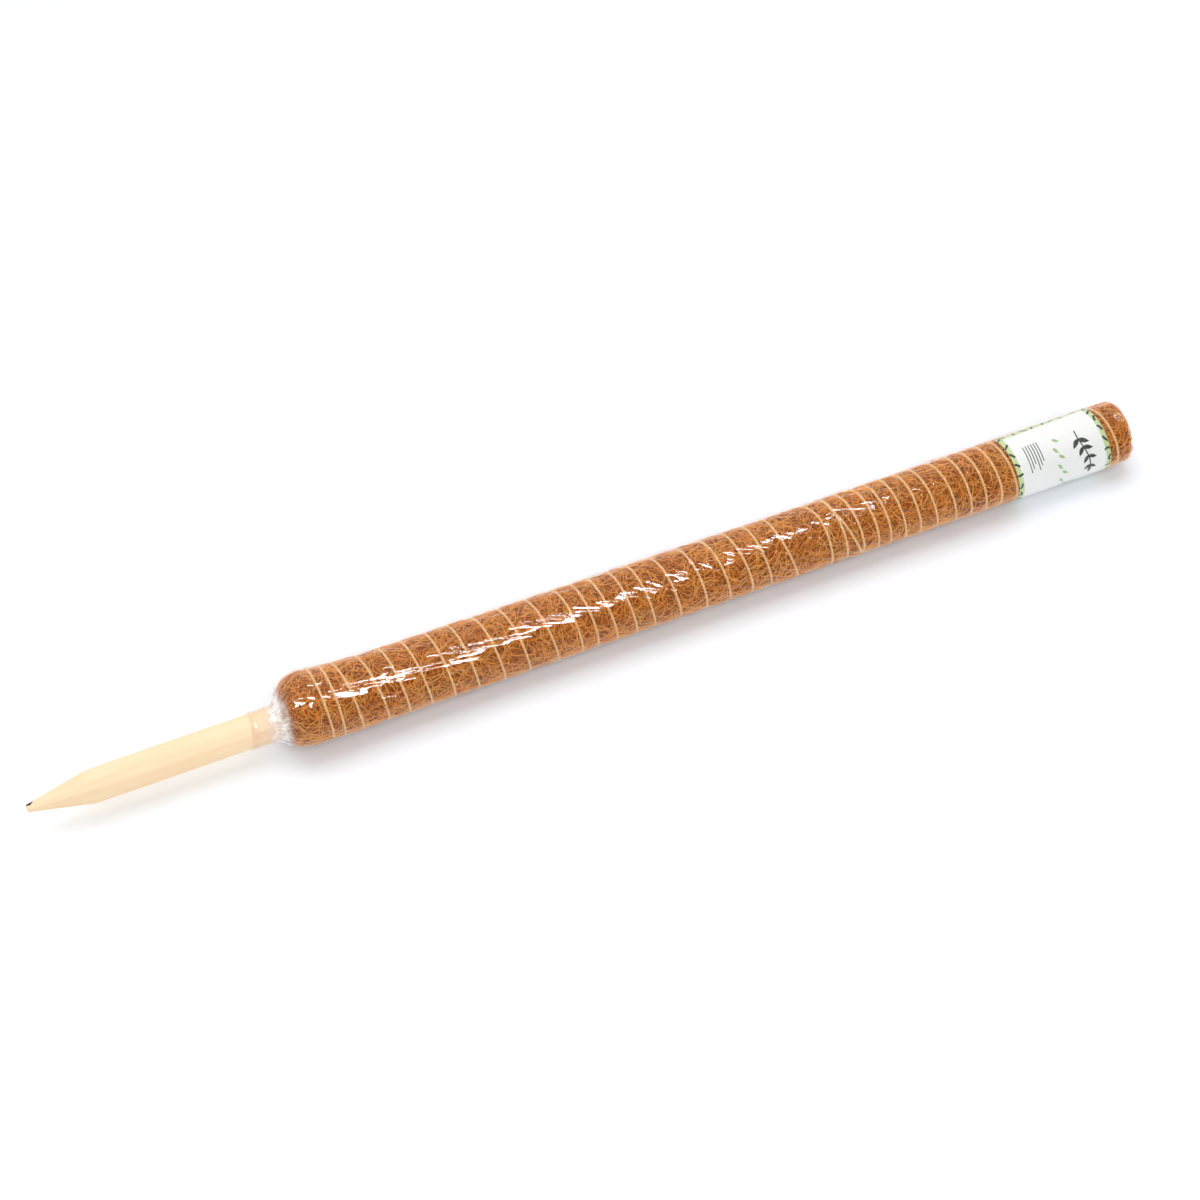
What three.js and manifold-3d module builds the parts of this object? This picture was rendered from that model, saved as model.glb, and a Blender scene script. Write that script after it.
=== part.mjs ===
// Moss pole: a sharpened wooden stake wrapped in coir, bound with twine, labelled and sealed in shrink film.
// It lies on its side, with the stake's point towards -X and its top towards +X.
// Millimetres, +Z up, with the origin under the middle of the pole on the surface that it lies on.

import * as THREE from 'three';
import { mergeVertices } from 'three/addons/utils/BufferGeometryUtils.js';
import Module from 'manifold-3d';

// Lengths along the pole
const overallLength = 914.4;
const bareStakeLength = 198;
const pointLength = 52;
const filmOnStakeLength = 26;
const labelLength = 82;
const labelToTop = 24.4;
const stakeTopRecess = 2;

// Diameters and wall thicknesses
const stakeDiameter = 26;
const tipDiameter = 5.5;
const coirDiameter = 50.7;
const twineDiameter = 1.6;
const twineBite = 0.9;
const labelThickness = 0.25;
const filmThickness = 0.4;

// Rounded ends of the coir
const shoulderLength = 22;
const topRimRadius = 7;
const endLand = 1;

// Radius that the coir gains towards its thicker bottom end, evenly and then in a bulge close to the end,
// where it also stands clear of the surface below
const taperSwell = 1.6;
const taperRun = 400;
const bulgeSwell = 2;
const bulgeRun = 28;
const endRise = 2;

// Clearances between neighbours
const boreClearance = 0.3;
const twineClearance = 0.4;
const labelClearance = 0.3;
const filmClearance = 0.4;
const neckClearance = 0.3;

// Twine binding, with each length of twine in turns.
// Spreads and the crowding at the bottom end are multiples of the distance between turns of the upper length.
const lowerTurns = 23;
const upperTurns = 18;
const lowerSpread = 1.36;
const longTurnSpread = 2.58;
const turnsFromLongTurn = 1.25;
const crowding = 1.67;
const crowdedTurns = 1.6;
const bindingInset = 2;

// Label's arc round the pole, in degrees from the far side over the top
const labelFirstAngle = 60;
const labelArc = 190;

// Film's gathered neck, its turned-over lip and its flat underside
const pleatCount = 20;
const pleatHeight = 0.8;
const neckRun = 5;
const gatherAngle = 25;
const lipOverlap = 3;
const restDepth = 0.5;
const smoothTurnsAtLabel = 0.6;

// Facets
const pointFacets = 8;
const turnSteps = pleatCount;
const twineSides = 4;
const labelSteps = 20;
const arcSteps = 4;

// Sizes that follow from the values above
const stakeRadius = stakeDiameter / 2;
const coirRadius = coirDiameter / 2;
const twineRadius = twineDiameter / 2;
const boreRadius = stakeRadius + boreClearance;
const labelInnerRadius = coirRadius + labelClearance;
const labelOuterRadius = labelInnerRadius + labelThickness;
const filmOffset = labelOuterRadius + filmClearance - coirRadius;
const filmOuterRadius = coirRadius + filmOffset + filmThickness;
const twineOuterRadius = coirRadius - twineBite;
const coirBottom = bareStakeLength;
const coirTop = overallLength - filmThickness - filmOffset;
const faceRadius = boreRadius + endLand;
const topRim = Math.min(topRimRadius, coirRadius - faceRadius);
const bodyStart = coirBottom + shoulderLength;
const bodyEnd = coirTop - topRim;
const bindingStart = bodyStart + bindingInset;
const turns = lowerTurns + upperTurns;
const labelEnd = overallLength - labelToTop;
const labelStart = labelEnd - labelLength;
const restHeight = filmOuterRadius - restDepth;

const fullTurn = 2 * Math.PI;
const stepAngle = (step) => (fullTurn * (step + 0.5)) / turnSteps;
const point = (x, radius, angle, lift) => [x, radius * Math.cos(angle), lift + radius * Math.sin(angle)];

function material(color, roughness, opacity = 1) {
  return new THREE.MeshStandardMaterial({
    color,
    roughness,
    metalness: 0,
    opacity,
    transparent: opacity < 1,
  });
}

function indexedGeometry(vertices, triangles) {
  const geometry = new THREE.BufferGeometry();
  geometry.setAttribute('position', new THREE.Float32BufferAttribute(vertices.flat(), 3));
  geometry.setIndex(triangles.flat());
  geometry.computeVertexNormals();
  return geometry;
}

// Two triangles between four corners, without the one that has two equal corners
function quad(a, b, c, d) {
  return [[a, b, c], [a, c, d]].filter(([p, q, r]) => p !== q && q !== r && r !== p);
}

// Points of a quarter-round in the plane of the axis, as [x, radius]
function arc(centreX, centreRadius, radius, fromDegrees, toDegrees, steps) {
  const points = [];
  for (let i = 0; i <= steps; i += 1) {
    const angle = THREE.MathUtils.degToRad(fromDegrees + ((toDegrees - fromDegrees) * i) / steps);
    points.push([centreX + radius * Math.cos(angle), centreRadius + radius * Math.sin(angle)]);
  }
  return points;
}

// Radius that the coir gains at a place along the pole
function swell(x) {
  const beyond = Math.max(x - bodyStart, 0);
  const taper = taperSwell * Math.max(1 - beyond / taperRun, 0);
  return taper + bulgeSwell * Math.exp(-beyond / bulgeRun);
}

// Lift of the coir's centre line off the stake's, which keeps the underside level except at the bottom end
function centreLift(x) {
  return swell(x) + endRise * Math.exp(-Math.max(x - bodyStart, 0) / bulgeRun);
}

// Rings over the bottom shoulder, a quarter oval from the face to the body, at a distance outside the coir.
// Each is its distance along the pole, its radius, its lift and its share of the way out.
function shoulderRings(distance, fromDegrees) {
  const rise = coirRadius + swell(bodyStart) - faceRadius + distance;
  const rings = [];
  for (let i = 0; i <= arcSteps; i += 1) {
    const angle = THREE.MathUtils.degToRad(fromDegrees + ((90 - fromDegrees) * i) / arcSteps);
    const x = bodyStart - (shoulderLength + distance) * Math.cos(angle);
    const radius = faceRadius + rise * Math.sin(angle);
    rings.push({ x, radius, lift: centreLift(bodyStart) * Math.sin(angle), share: i / arcSteps });
  }
  return rings;
}

// Distance that a number of turns takes up, in turns of the upper length.
// The lower length crowds at the bottom end, then runs more openly, with one long turn near the upper length.
function turnsSpread(count) {
  const open = lowerTurns - turnsFromLongTurn;
  const crowded = crowding * (1 - Math.exp(-count / crowdedTurns));
  const long = longTurnSpread * THREE.MathUtils.clamp(count - open, 0, 1);
  return lowerSpread * Math.min(count, open) - crowded + long + Math.max(count - open - 1, 0);
}

// Place along the pole of the twine after a number of turns
function turnPlace(turn) {
  const share = turnsSpread(turn + 0.5) / turnsSpread(turns + 1);
  return bindingStart + (bodyEnd - bindingStart) * share;
}

const wasm = await Module();
wasm.setup();

function toSolid(geometry) {
  const bare = geometry.clone();
  bare.deleteAttribute('normal');
  bare.deleteAttribute('uv');
  const merged = mergeVertices(bare);
  const vertProperties = new Float32Array(merged.attributes.position.array);
  const triVerts = new Uint32Array(merged.index.array);
  return new wasm.Manifold(new wasm.Mesh({ numProp: 3, vertProperties, triVerts }));
}

function toGeometry(solid) {
  const mesh = solid.getMesh();
  const geometry = new THREE.BufferGeometry();
  geometry.setAttribute('position', new THREE.BufferAttribute(new Float32Array(mesh.vertProperties), 3));
  geometry.setIndex(new THREE.BufferAttribute(new Uint32Array(mesh.triVerts), 1));
  geometry.computeVertexNormals();
  return geometry;
}

// Dowel through the whole pole, with flats cut to a blunt point.
// The flats belong to one long pyramid, so each ends in a scallop on the round of the dowel.
function woodenStake() {
  const length = coirTop - stakeTopRecess;
  const dowel = new THREE.CylinderGeometry(stakeRadius, stakeRadius, length, turnSteps);
  dowel.rotateY(stepAngle(0));
  const growth = (stakeRadius - tipDiameter / 2) / pointLength;
  const acrossCorners = 1 / Math.cos(Math.PI / pointFacets);
  const tipCorner = (tipDiameter / 2) * acrossCorners;
  const farCorner = (tipDiameter / 2 + growth * length) * acrossCorners;
  const pyramid = new THREE.CylinderGeometry(farCorner, tipCorner, length, pointFacets);
  const stake = toGeometry(toSolid(dowel).intersect(toSolid(pyramid)));
  stake.rotateZ(-Math.PI / 2);
  stake.translate(length / 2, 0, 0);
  return stake;
}

// Points and faces of one closed body round the pole's axis.
// Rings and rows are lists of points round the pole, with the first point again at the end.
class Skin {
  vertices = [];
  triangles = [];

  add(x, radius, angle, lift, lowest = -Infinity) {
    const [along, across, up] = point(x, radius, angle, lift);
    return this.vertices.push([along, across, Math.max(up, lowest)]) - 1;
  }

  ring(x, radius, lift, lowest) {
    const places = [];
    for (let step = 0; step < turnSteps; step += 1) {
      places.push(this.add(x, radius, stepAngle(step), lift, lowest));
    }
    return [...places, places[0]];
  }

  // Ring with a ridge between each two points of a plain ring
  pleatedRing(x, radius, ridge, lift, lowest) {
    const places = [];
    for (let step = 0; step < turnSteps; step += 1) {
      places.push(this.add(x, radius, stepAngle(step), lift, lowest));
      places.push(this.add(x, radius + ridge, stepAngle(step + 0.5), lift, lowest));
    }
    return [...places, places[0]];
  }

  // Faces between two rings or rows, facing out where the second lies nearer the top of the pole
  join(low, high) {
    for (let i = 0; i + 1 < low.length; i += 1) {
      this.triangles.push(...quad(low[i], low[i + 1], high[i + 1], high[i]));
    }
  }

  // Faces between a pleated ring and a plain ring above it
  joinPleats(pleated, plain) {
    for (let i = 0; i + 1 < plain.length; i += 1) {
      const [before, ridge, after] = pleated.slice(2 * i, 2 * i + 3);
      this.triangles.push([before, ridge, plain[i]], [ridge, plain[i + 1], plain[i]]);
      this.triangles.push([ridge, after, plain[i + 1]]);
    }
  }

  // Rows along the screw line of the twine, between two plain rings, over the swelling of the coir.
  // Rows are half a turn apart, crest and groove in turn, and after a full circle meet the row two places on.
  screw(bottom, top, radiusAt, lowest) {
    const addPoint = (row, step) => {
      const turn = (row - 1) / 2 + step / turnSteps;
      const x = turnPlace(turn);
      const radius = swell(x) + radiusAt(row % 2 === 1, turn, stepAngle(step));
      return this.add(x, radius, stepAngle(step), centreLift(x), lowest);
    };
    const lastRow = 2 * turns;
    const rows = [];
    for (let row = 0; row <= lastRow; row += 1) {
      const places = row === 0 ? [bottom[0]] : [addPoint(row, 0)];
      for (let step = 1; step < turnSteps; step += 1) {
        places.push(addPoint(row, step));
      }
      rows.push(places);
    }
    const grooveEnd = addPoint(lastRow + 1, 0);
    const ends = [...rows.slice(2).map((places) => places[0]), grooveEnd, top[0]];
    rows.forEach((places, row) => places.push(ends[row]));

    this.join(bottom, rows[0]);
    rows.slice(1).forEach((places, i) => this.join(rows[i], places));
    this.join(rows[lastRow], top);
    this.triangles.push([bottom[0], rows[1][0], rows[2][0]]);
    this.triangles.push([rows[lastRow][0], top[0], grooveEnd]);
  }

  turnInsideOut() {
    this.triangles.forEach((triangle) => triangle.reverse());
  }

  geometry() {
    return indexedGeometry(this.vertices, this.triangles);
  }
}

// Coir round the stake, drawn in along a screw line under the twine and swelling between its turns
function coirWrap() {
  const skin = new Skin();
  const grooveRadius = twineOuterRadius - twineDiameter - twineClearance;
  const bottomBore = skin.ring(coirBottom, boreRadius, 0);
  const topBore = skin.ring(coirTop, boreRadius, 0);
  const overShoulder = shoulderRings(0, 0).map(({ x, radius, lift }) => skin.ring(x, radius, lift));
  const overRim = arc(bodyEnd, coirRadius - topRim, topRim, 90, 0, arcSteps);
  const rimRings = overRim.map(([x, radius]) => skin.ring(x, radius, 0));
  const bodyBottom = skin.ring(bindingStart, coirRadius + swell(bindingStart), centreLift(bindingStart));

  const lowerRings = [bottomBore, ...overShoulder, bodyBottom];
  lowerRings.slice(1).forEach((ring, i) => skin.join(lowerRings[i], ring));
  skin.screw(bodyBottom, rimRings[0], (inGroove) => (inGroove ? grooveRadius : coirRadius));
  const upperRings = [...rimRings, topBore];
  upperRings.slice(1).forEach((ring, i) => skin.join(upperRings[i], ring));
  skin.join(topBore, bottomBore);
  return skin.geometry();
}

// Least gap between one turn of a length of twine and the next, measured between centre points
function leastTwineGap(centres) {
  let least = Infinity;
  for (let i = 0; i < centres.length; i += 1) {
    for (let j = i + turnSteps / 2; j < centres.length; j += 1) {
      least = Math.min(least, centres[i].distanceTo(centres[j]));
    }
  }
  return least - twineDiameter;
}

// One unbroken length of twine in its groove, with both ends straight for one diameter
function twine(name, firstTurn, lastTurn) {
  const lineRadius = twineOuterRadius - twineRadius;
  const firstStep = firstTurn * turnSteps + 1;
  const lastStep = lastTurn * turnSteps - 1;
  const centres = [];
  const outward = [];
  for (let step = firstStep; step <= lastStep; step += 1) {
    const angle = stepAngle(step);
    const x = turnPlace(step / turnSteps);
    centres.push(new THREE.Vector3(...point(x, lineRadius + swell(x), angle, centreLift(x))));
    outward.push(new THREE.Vector3(0, Math.cos(angle), Math.sin(angle)));
  }
  console.log(`${name}: least gap to itself ${leastTwineGap(centres).toFixed(2)} mm`);

  const straightOn = (from, towards) => towards.clone().sub(from).setLength(twineDiameter).add(towards);
  centres.unshift(straightOn(centres[1], centres[0]));
  centres.push(straightOn(centres.at(-2), centres.at(-1)));
  outward.unshift(outward[0]);
  outward.push(outward.at(-1));

  const vertices = [];
  const triangles = [];
  centres.forEach((centre, i) => {
    const before = centres[Math.max(i - 1, 0)];
    const after = centres[Math.min(i + 1, centres.length - 1)];
    const across = after.clone().sub(before).cross(outward[i]).normalize();
    for (let side = 0; side < twineSides; side += 1) {
      const angle = (fullTurn * side) / twineSides;
      const corner = centre.clone();
      corner.addScaledVector(outward[i], twineRadius * Math.cos(angle));
      corner.addScaledVector(across, twineRadius * Math.sin(angle));
      vertices.push(corner.toArray());
    }
  });
  for (let i = 0; i + 1 < centres.length; i += 1) {
    for (let side = 0; side < twineSides; side += 1) {
      const a = i * twineSides + side;
      const b = i * twineSides + ((side + 1) % twineSides);
      triangles.push(...quad(a, b, b + twineSides, a + twineSides));
    }
  }
  const last = (centres.length - 1) * twineSides;
  for (let side = 1; side + 1 < twineSides; side += 1) {
    triangles.push([0, side + 1, side]);
    triangles.push([last, last + side, last + side + 1]);
  }
  return indexedGeometry(vertices, triangles);
}

// Paper label laid part of the way round the pole, over the twine
function paperLabel() {
  const corners = [
    [labelStart, labelInnerRadius],
    [labelEnd, labelInnerRadius],
    [labelEnd, labelOuterRadius],
    [labelStart, labelOuterRadius],
  ];
  const vertices = [];
  const triangles = [];
  for (let step = 0; step <= labelSteps; step += 1) {
    const angle = THREE.MathUtils.degToRad(labelFirstAngle + (labelArc * step) / labelSteps);
    corners.forEach(([x, radius]) => vertices.push(point(x, radius + swell(x), angle, centreLift(x))));
  }
  for (let step = 0; step < labelSteps; step += 1) {
    for (let side = 0; side < 4; side += 1) {
      const a = step * 4 + side;
      const b = step * 4 + ((side + 1) % 4);
      triangles.push(...quad(a, b, b + 4, a + 4));
    }
  }
  const last = labelSteps * 4;
  triangles.push([0, 3, 2], [0, 2, 1]);
  triangles.push([last, last + 1, last + 2], [last, last + 2, last + 3]);
  return indexedGeometry(vertices, triangles);
}

// One face of the film, from its cut edge on the stake to the lip at the top.
// Offset is the distance from the film's inner face, and lowest is the height of its flat underside.
function filmFace(skin, offset, lowest) {
  const crestRadius = coirRadius + filmOffset + offset;
  const drawnInRadius = twineOuterRadius + filmClearance + offset;
  const twineEndRadius = coirRadius + filmClearance + offset;
  const neckRadius = stakeRadius + neckClearance + offset;
  const neckEnd = coirBottom - filmOffset - filmThickness - neckRun;
  const rimReach = topRim + filmOffset + offset;

  const neck = [coirBottom - filmOnStakeLength, neckEnd].map((x) => (
    skin.pleatedRing(x, neckRadius, pleatHeight, 0, lowest)
  ));
  const overShoulder = shoulderRings(filmOffset + offset, gatherAngle).map(({ x, radius, lift, share }) => (
    skin.pleatedRing(x, radius, (pleatHeight * (1 - share) ** 2) / 2, lift, lowest)
  ));
  const pleated = [...neck, ...overShoulder];
  pleated.slice(1).forEach((ring, i) => skin.join(pleated[i], ring));

  const bodyRadius = crestRadius + swell(bindingStart);
  const bodyBottom = skin.ring(bindingStart, bodyRadius, centreLift(bindingStart), lowest);
  skin.joinPleats(pleated.at(-1), bodyBottom);
  const overRim = arc(bodyEnd, coirRadius - topRim, rimReach, 90, 0, arcSteps);
  const lip = [bodyEnd + rimReach, boreRadius + lipOverlap];
  const topRings = [...overRim, lip].map(([x, radius]) => skin.ring(x, radius, 0, lowest));
  topRings.slice(1).forEach((ring, i) => skin.join(topRings[i], ring));

  const radiusAt = (inGroove, turn, angle) => {
    const x = turnPlace(turn);
    const belowLabel = turnPlace(turn + smoothTurnsAtLabel) < labelStart;
    const aboveLabel = turnPlace(turn - smoothTurnsAtLabel) > labelEnd;
    const underneath = centreLift(x) + (filmOuterRadius + swell(x)) * Math.sin(angle) < -restHeight;
    if (!inGroove || underneath || !(belowLabel || aboveLabel)) {
      return crestRadius;
    }
    return turn > 0 && turn < turns ? drawnInRadius : twineEndRadius;
  };
  skin.screw(bodyBottom, topRings[0], radiusAt, lowest);
  return { cutEdge: pleated[0], lipEdge: topRings.at(-1) };
}

// Shrink film over the whole coir, drawn in at the twine, gathered in pleats on the stake, open at both ends.
// It lies smooth over the label, and flat underneath where the pole rests on it.
function filmSleeve() {
  const skin = new Skin();
  const inner = filmFace(skin, 0, filmThickness - restHeight);
  skin.turnInsideOut();
  const outer = filmFace(skin, filmThickness, -restHeight);
  skin.join(inner.cutEdge, outer.cutEdge);
  skin.join(outer.lipEdge, inner.lipEdge);
  return skin.geometry();
}

const pole = new THREE.Group();
pole.position.set(-overallLength / 2, 0, restHeight);

function addPiece(name, geometry, finish) {
  const mesh = new THREE.Mesh(geometry, finish);
  mesh.name = name;
  pole.add(mesh);
}

addPiece('wooden_stake', woodenStake(), material(0xf0d3a0, 0.65));
addPiece('coir_wrap', coirWrap(), material(0xb06a2c, 0.95));
addPiece('lower_twine', twine('lower_twine', 0, lowerTurns), material(0xe3c08a, 0.8));
addPiece('upper_twine', twine('upper_twine', lowerTurns, turns), material(0xe3c08a, 0.8));
addPiece('paper_label', paperLabel(), material(0xf4f4ef, 0.6));
addPiece('film_sleeve', filmSleeve(), material(0xf6f2ec, 0.1, 0.3));

const mossPole = new THREE.Group();
mossPole.add(pole);

export default mossPole;
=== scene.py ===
import math

import bpy
import numpy as np
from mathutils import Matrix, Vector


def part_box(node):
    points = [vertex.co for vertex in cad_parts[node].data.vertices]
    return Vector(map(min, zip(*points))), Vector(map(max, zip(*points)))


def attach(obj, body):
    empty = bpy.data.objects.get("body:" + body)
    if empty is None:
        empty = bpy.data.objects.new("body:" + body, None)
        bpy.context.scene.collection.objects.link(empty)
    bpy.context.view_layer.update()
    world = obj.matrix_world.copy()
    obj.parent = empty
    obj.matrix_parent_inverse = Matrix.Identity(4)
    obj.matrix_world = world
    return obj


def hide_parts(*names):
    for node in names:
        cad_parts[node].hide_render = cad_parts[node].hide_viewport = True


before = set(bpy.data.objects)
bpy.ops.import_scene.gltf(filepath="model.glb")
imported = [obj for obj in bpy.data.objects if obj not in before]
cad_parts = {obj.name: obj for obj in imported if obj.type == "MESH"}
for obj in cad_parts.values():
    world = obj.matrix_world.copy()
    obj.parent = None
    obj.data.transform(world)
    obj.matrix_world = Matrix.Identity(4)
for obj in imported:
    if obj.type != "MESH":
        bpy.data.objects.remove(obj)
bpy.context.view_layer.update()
scene = bpy.context.scene

# Sizes are in millimetres. Along is measured from the stake's point towards the top of the pole,
# and angles go round the pole from its far side over the top towards the camera.
stakeLow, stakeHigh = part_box("wooden_stake")
coirLow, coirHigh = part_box("coir_wrap")
labelLow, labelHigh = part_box("paper_label")
filmLow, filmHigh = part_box("film_sleeve")
fullTurn = 2 * math.pi


def alongOf(x):
    return (x - stakeLow.x) * 1000


pole = {
    "axisHeight": (stakeLow.z + stakeHigh.z) * 500,
    "coirBottom": alongOf(coirLow.x),
    "coirTop": alongOf(coirHigh.x),
    "stakeTop": alongOf(stakeHigh.x),
    "filmStart": alongOf(filmLow.x),
    "filmTop": alongOf(filmHigh.x),
    "labelStart": alongOf(labelLow.x),
    "labelEnd": alongOf(labelHigh.x),
    "coirRadius": 25.35,
    "boreRadius": 13.3,
    "faceRadius": 14.3,
    "shoulder": 22.0,
    "topRim": 7.0,
    "taperSwell": 1.6,
    "taperRun": 400.0,
    "bulgeSwell": 2.0,
    "bulgeRun": 28.0,
    "endRise": 2.0,
    "shoulderRows": 16,
    "bodyRows": 140,
    "rimRows": 12,
}
pole["bodyStart"] = pole["coirBottom"] + pole["shoulder"]


def onPole(along, radius, angle, lift=0.0):
    x, y, z = np.broadcast_arrays(along, radius * np.cos(angle), radius * np.sin(angle) + lift)
    return np.stack([x, y, z + pole["axisHeight"]], axis=-1) / 1000 + [stakeLow.x, 0, 0]


def swell(along):   # radius that the coir gains towards its thicker bottom end
    beyond = np.maximum(along - pole["bodyStart"], 0)
    taper = pole["taperSwell"] * np.maximum(1 - beyond / pole["taperRun"], 0)
    return taper + pole["bulgeSwell"] * np.exp(-beyond / pole["bulgeRun"])


def onWrap(along, radius, angle):   # round the coir's centre line, which lifts towards its bottom end
    beyond = np.maximum(along - pole["bodyStart"], 0)
    toBody = np.clip((pole["bodyStart"] - along) / pole["shoulder"], 0, 1)
    lift = swell(along) + pole["endRise"] * np.exp(-beyond / pole["bulgeRun"])
    return onPole(along, radius, angle, lift * np.sqrt(1 - toBody ** 2))


def linear(red, green, blue):   # screen colour out of 255 as scene colour
    shares = np.array([red, green, blue]) / 255
    low, high = shares / 12.92, ((shares + 0.055) / 1.055) ** 2.4
    return (*np.where(shares < 0.04045, low, high).tolist(), 1)


# Meshes

quadCorners = [(0, 0), (0, 1), (1, 1), (1, 0)]   # steps from a grid's point to the corners of its face


def newMesh(name, points, faces, cornerUv):
    mesh = bpy.data.meshes.new(name)
    corners = np.concatenate([part.ravel() for part in faces])
    sizes = np.concatenate([np.full(len(part), part.shape[1]) for part in faces])
    mesh.vertices.add(len(points))
    mesh.vertices.foreach_set("co", np.asarray(points, np.float32).ravel())
    mesh.loops.add(len(corners))
    mesh.loops.foreach_set("vertex_index", corners.astype(np.int32))
    mesh.polygons.add(len(sizes))
    mesh.polygons.foreach_set("loop_start", (np.cumsum(sizes) - sizes).astype(np.int32))
    mesh.polygons.foreach_set("use_smooth", np.ones(len(sizes), bool))
    mesh.uv_layers.new(name="OFBake")
    mesh.uv_layers["OFBake"].data.foreach_set("uv", np.asarray(cornerUv, np.float32).ravel())
    mesh.update(calc_edges=True)
    mesh.validate()
    return mesh


def addPiece(name, points, faces, cornerUv, material, node=None, slot=None):
    mesh = newMesh(name, points, faces, cornerUv)
    mesh.materials.append(material)
    piece = bpy.data.objects.new(name, mesh)
    scene.collection.objects.link(piece)
    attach(piece, "root")
    if node:
        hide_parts(node)
    print(f"{name}: {len(mesh.polygons)} faces")
    return piece


def gridFaces(rows, columns, closed=False, places=None):   # a grid's faces and UVs, with v at each row
    across = columns if closed else columns - 1
    places = np.arange(rows) / (rows - 1) if places is None else places
    row, column = np.meshgrid(np.arange(rows - 1), np.arange(across), indexing="ij")
    row, column = row.ravel(), column.ravel()
    faces = np.stack([(row + i) * columns + (column + j) % columns for i, j in quadCorners], axis=1)
    u = np.stack([(column + j) / across for i, j in quadCorners], axis=1)
    v = np.stack([places[row + i] for i, j in quadCorners], axis=1)
    return faces, np.stack([u, v], axis=-1).reshape(-1, 2)


def unit(vectors):
    return vectors / np.linalg.norm(vectors, axis=-1, keepdims=True)


def tubeRings(paths, outward, radii, sides):
    tangents = unit(np.gradient(paths, axis=1))
    across = unit(np.cross(tangents, outward))
    outward = np.cross(across, tangents)
    turn = (np.arange(sides) * fullTurn / sides)[:, None]
    ring = np.cos(turn) * outward[:, :, None, :] + np.sin(turn) * across[:, :, None, :]
    return paths[:, :, None, :] + radii[:, :, None, None] * ring


def tubes(paths, outward, radii, sides):   # closed thin tubes along paths, given by tube, step and x, y, z
    count, steps = radii.shape
    wall, uv = gridFaces(steps, sides, closed=True)
    first = np.arange(count)[:, None] * steps * sides
    walls = (first[:, :, None] + wall).reshape(-1, 4)
    caps = [first + np.arange(sides)[::-1], first + (steps - 1) * sides + np.arange(sides)]
    points = tubeRings(paths, outward, radii, sides).reshape(-1, 3)
    v, u = np.tile(uv.reshape(-1, 4, 2), (count, 1, 1)).transpose(2, 0, 1)
    return points, [walls, *caps], u, v, np.repeat(np.arange(count), len(wall))


def joined(parts):   # points, faces and UVs of several parts as one
    points, faces, uvs, count = [], [], [], 0
    for partPoints, partFaces, partUv in parts:
        points.append(partPoints)
        faces += [corners + count for corners in partFaces]
        uvs.append(partUv)
        count += len(partPoints)
    return np.concatenate(points), faces, np.concatenate(uvs)


def eased(share):   # from 0 to 1 with a soft start and end
    return share * share * (3 - 2 * share)


def blended(heights, i, j, a, b):   # between four neighbours in a table whose first axis wraps round
    after = (i + 1) % len(heights)
    low = heights[i, j] * (1 - a) + heights[after, j] * a
    high = heights[i, j + 1] * (1 - a) + heights[after, j + 1] * a
    return low * (1 - b) + high * b


def patches(rng, u, v, height, around, lengthwise):   # smooth random hills up and down by a height
    heights = rng.uniform(-1, 1, (around, lengthwise + 2))
    a, b = u * around, np.clip(v, 0, 1) * lengthwise
    i, j = np.floor(a).astype(int), np.floor(b).astype(int)
    return height * blended(heights, i % around, j, eased(a - i), eased(b - j))


def evenProfile(corners, spacing, fineRun=0.0, fineSpacing=1.0):
    # a line of along and radius, with its distance run and outward direction
    corners = np.array(corners, float)
    reached = np.concatenate([[0], np.cumsum(np.hypot(*np.diff(corners, axis=0).T))])
    steps = round((reached[-1] - fineRun) / spacing) + 1
    run = np.concatenate([np.arange(0, fineRun, fineSpacing), np.linspace(fineRun, reached[-1], steps)])
    along, radius = np.interp(run, reached, corners[:, 0]), np.interp(run, reached, corners[:, 1])
    outward = np.stack([-np.gradient(radius, run), np.gradient(along, run)])
    outward /= np.linalg.norm(outward, axis=0)
    return {"run": run, "along": along, "radius": radius, "outAlong": outward[0], "outRadius": outward[1]}


def wrapProfile(offset, fromDegrees):   # from the bottom shoulder over the swollen body to the top rim
    bodyStart, bodyEnd = pole["bodyStart"], pole["coirTop"] - pole["topRim"]
    face, rim = pole["faceRadius"], pole["topRim"] + offset
    quarter = np.radians(np.linspace(fromDegrees, 90, pole["shoulderRows"]))
    rise = pole["coirRadius"] + swell(bodyStart) - face + offset
    along = bodyStart - (pole["shoulder"] + offset) * np.cos(quarter)
    shoulder = list(zip(along, face + rise * np.sin(quarter)))
    body = np.linspace(bodyStart, bodyEnd, pole["bodyRows"])[1:-1]
    straight = list(zip(body, pole["coirRadius"] + swell(body) + offset))
    quarter = np.radians(np.linspace(90, 0, pole["rimRows"]))
    radius = pole["coirRadius"] - pole["topRim"] + rim * np.sin(quarter)
    return shoulder + straight + list(zip(bodyEnd + rim * np.cos(quarter), radius))


def atRun(profile, run, name):   # one of a profile's values, at distances run along it
    return np.interp(run, profile["run"], profile[name])


# Materials

def newMaterial(name, shaderOf, *values):
    material = bpy.data.materials.new(name)
    material.use_nodes = True
    tree = material.node_tree
    tree.nodes.clear()
    node(tree, "OutputMaterial", {"Surface": shaderOf(tree, *values)})
    return material


def node(tree, kind, inputs=None, **settings):   # a node whose inputs are values or other nodes' sockets
    made = tree.nodes.new("ShaderNode" + kind)
    for key, value in settings.items():
        setattr(made, key, value)
    for key, value in (inputs or {}).items():
        if isinstance(value, bpy.types.NodeSocket):
            tree.links.new(value, made.inputs[key])
        else:
            made.inputs[key].default_value = value
    return made


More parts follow.
